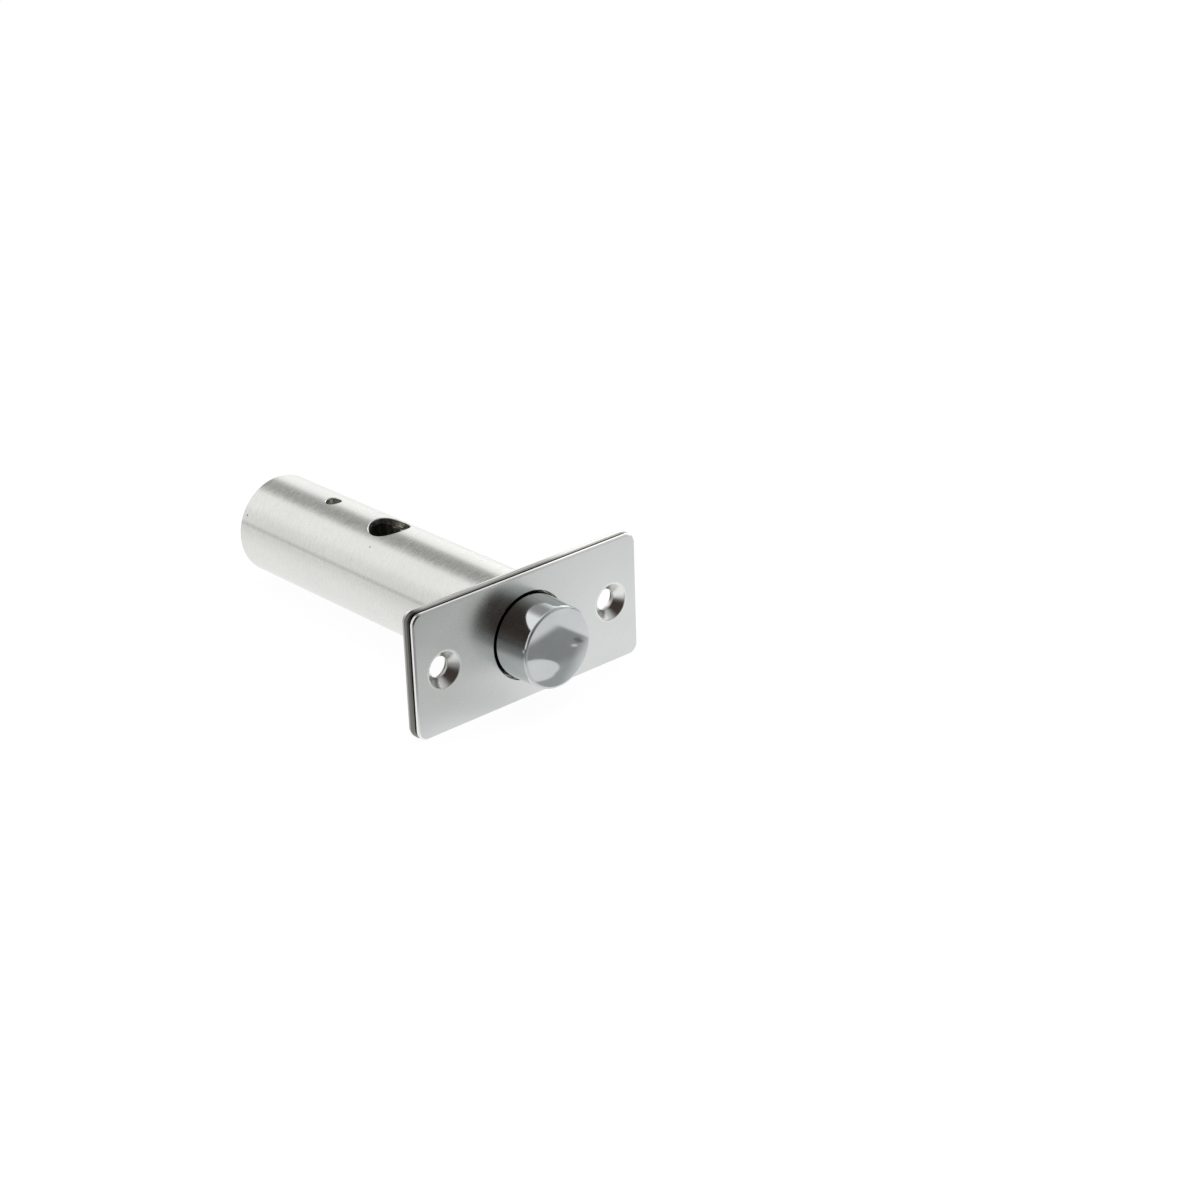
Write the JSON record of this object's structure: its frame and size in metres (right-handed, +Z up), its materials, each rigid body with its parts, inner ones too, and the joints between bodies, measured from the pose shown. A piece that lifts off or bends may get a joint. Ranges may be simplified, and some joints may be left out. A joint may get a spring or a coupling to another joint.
{
  "type": "rack bolt",
  "caption": "Round door-edge rack bolt: tubular case behind a cover plate and mounting plate, with a key hole over a rack slot and a sprung detent.",
  "frame": {"origin": "on the case's axis, at the back face of the mounting plate, which seats on the door edge", "axes": "+X along the plates, +Y along the case into the door, +Z up through the key hole; the bolt is thrown towards -Y"},
  "size_m": [0.053, 0.0837, 0.0248],
  "materials": {
    "cover_steel": "fine satin",
    "plate_steel": "dull rolled",
    "case_steel": "turned and brushed round the axis",
    "bolt_plating": "polished plating",
    "pin_steel": "ground",
    "ball_steel": "polished",
    "spring_steel": "drawn wire",
    "cap_steel": "pressed sheet"
  },
  "bodies": {
    "case": {"cover_plate": "cover_steel", "mounting_plate": "plate_steel", "case_tube": "case_steel", "guide_pin": "pin_steel", "end_cap": "cap_steel"},
    "bolt": {"bolt": "bolt_plating", "detent_spring": "spring_steel"},
    "detent": {"detent_ball": "ball_steel"}
  },
  "joints": [
    {"name": "bolt_throw", "type": "slide", "parent": "case", "child": "bolt", "axis": [0, -1, 0], "range_m": [-0.0078, 0.0042]},
    {"name": "detent_press", "type": "slide", "parent": "bolt", "child": "detent", "axis": [0, 0, -1], "range_m": [0, 0.0006], "stiffness_N_per_m": 1500, "springref_m": -0.002, "deforming": ["detent_spring"]}
  ]
}
